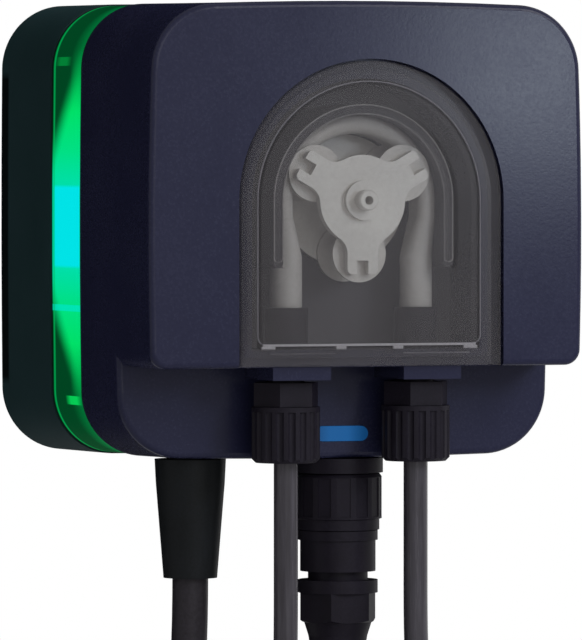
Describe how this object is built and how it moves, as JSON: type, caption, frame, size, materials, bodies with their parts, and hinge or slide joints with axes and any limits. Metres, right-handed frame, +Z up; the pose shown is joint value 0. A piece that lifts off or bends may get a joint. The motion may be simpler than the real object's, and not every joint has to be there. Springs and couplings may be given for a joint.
{
  "type": "peristaltic dosing pump",
  "caption": "Wall-mounted peristaltic dosing pump: housing with a light ring, a roller head behind a clear cover, hose fittings, cable connector, mains lead and hoses.",
  "frame": {"origin": "centre of the wall bracket's back face, on the wall", "axes": "+X right as seen from the front, -Y out to the front, +Z up"},
  "size_m": [0.214, 0.1124, 0.3903],
  "materials": {
    "housing_blue_grey": "fine moulded texture",
    "housing_dark": "fine moulded texture",
    "ring_diffuser": "frosted, lit from inside",
    "status_blue": "lit lens",
    "cover_polycarbonate": "frosted clear",
    "head_grey": "moulded",
    "rotor_acetal": "satin",
    "roller_nylon": "satin",
    "tube_elastomer": "matt",
    "black_nylon": "moulded",
    "seal_rubber": "matt",
    "boot_pvc": "satin",
    "lead_pvc": "satin",
    "hose_pvc": "smooth",
    "fitting_grey": "moulded",
    "board_green": "solder mask",
    "terminal_green": "moulded",
    "gearbox_steel": "rolled",
    "bracket_steel": "powder coat",
    "screw_steel": "bright",
    "pin_brass": "nickelled"
  },
  "bodies": {
    "housing": {"wall_bracket": "bracket_steel", "rear_shell": "housing_dark", "light_ring": "ring_diffuser", "led_strip": "board_green", "front_shell": "housing_blue_grey", "status_light": "status_blue", "housing_screws": "screw_steel", "main_board": "board_green", "power_module": "black_nylon", "relay": "black_nylon", "terminal_block": "terminal_green", "gearbox": "gearbox_steel", "motor": "gearbox_steel", "pump_head_base": "head_grey", "pump_tube": "tube_elastomer", "suction_fitting": "black_nylon", "delivery_fitting": "black_nylon", "suction_nut": "black_nylon", "delivery_nut": "black_nylon", "connector_socket": "black_nylon", "coupling_ring": "black_nylon", "connector_body": "black_nylon", "gland_nut": "black_nylon", "gland_seal": "seal_rubber", "strain_relief_boot": "boot_pvc", "mains_lead_run": "lead_pvc", "mains_lead_coil": "lead_pvc", "mains_lead_tail": "lead_pvc", "suction_hose_run": "hose_pvc", "suction_hose_coil": "hose_pvc", "suction_hose_tail": "hose_pvc", "delivery_hose_run": "hose_pvc", "delivery_hose_coil": "hose_pvc", "delivery_hose_tail": "hose_pvc", "mains_plug": "boot_pvc", "plug_pins": "pin_brass", "foot_filter": "fitting_grey", "foot_filter_nut": "black_nylon", "injection_valve": "fitting_grey", "injection_valve_nut": "black_nylon"},
    "rotor": {"roller_carrier": "rotor_acetal", "carrier_rear_plate": "rotor_acetal", "roller_pins": "screw_steel", "output_shaft": "rotor_acetal"},
    "roller_1": {"roller_1": "roller_nylon"},
    "roller_2": {"roller_2": "roller_nylon"},
    "roller_3": {"roller_3": "roller_nylon"},
    "cover": {"clear_cover": "cover_polycarbonate"}
  },
  "joints": [
    {"name": "rotor_spin", "type": "hinge", "parent": "housing", "child": "rotor", "pos_m": [0, -0.0976, 0.0076], "axis": [0, -1, 0], "continuous": true},
    {"name": "roller_1_spin", "type": "hinge", "parent": "rotor", "child": "roller_1", "pos_m": [0, -0.0976, -0.0057], "axis": [0, -1, 0], "continuous": true},
    {"name": "roller_2_spin", "type": "hinge", "parent": "rotor", "child": "roller_2", "pos_m": [0.01152, -0.0976, 0.01425], "axis": [0, -1, 0], "continuous": true},
    {"name": "roller_3_spin", "type": "hinge", "parent": "rotor", "child": "roller_3", "pos_m": [-0.01152, -0.0976, 0.01425], "axis": [0, -1, 0], "continuous": true},
    {"name": "cover_off", "type": "slide", "parent": "housing", "child": "cover", "axis": [0, -1, 0], "range_m": [0, 0.04]}
  ],
  "couplings": [
    {"joint": "roller_1_spin", "follows": "rotor_spin", "ratio": -5.4667},
    {"joint": "roller_2_spin", "follows": "rotor_spin", "ratio": -5.4667},
    {"joint": "roller_3_spin", "follows": "rotor_spin", "ratio": -5.4667}
  ]
}
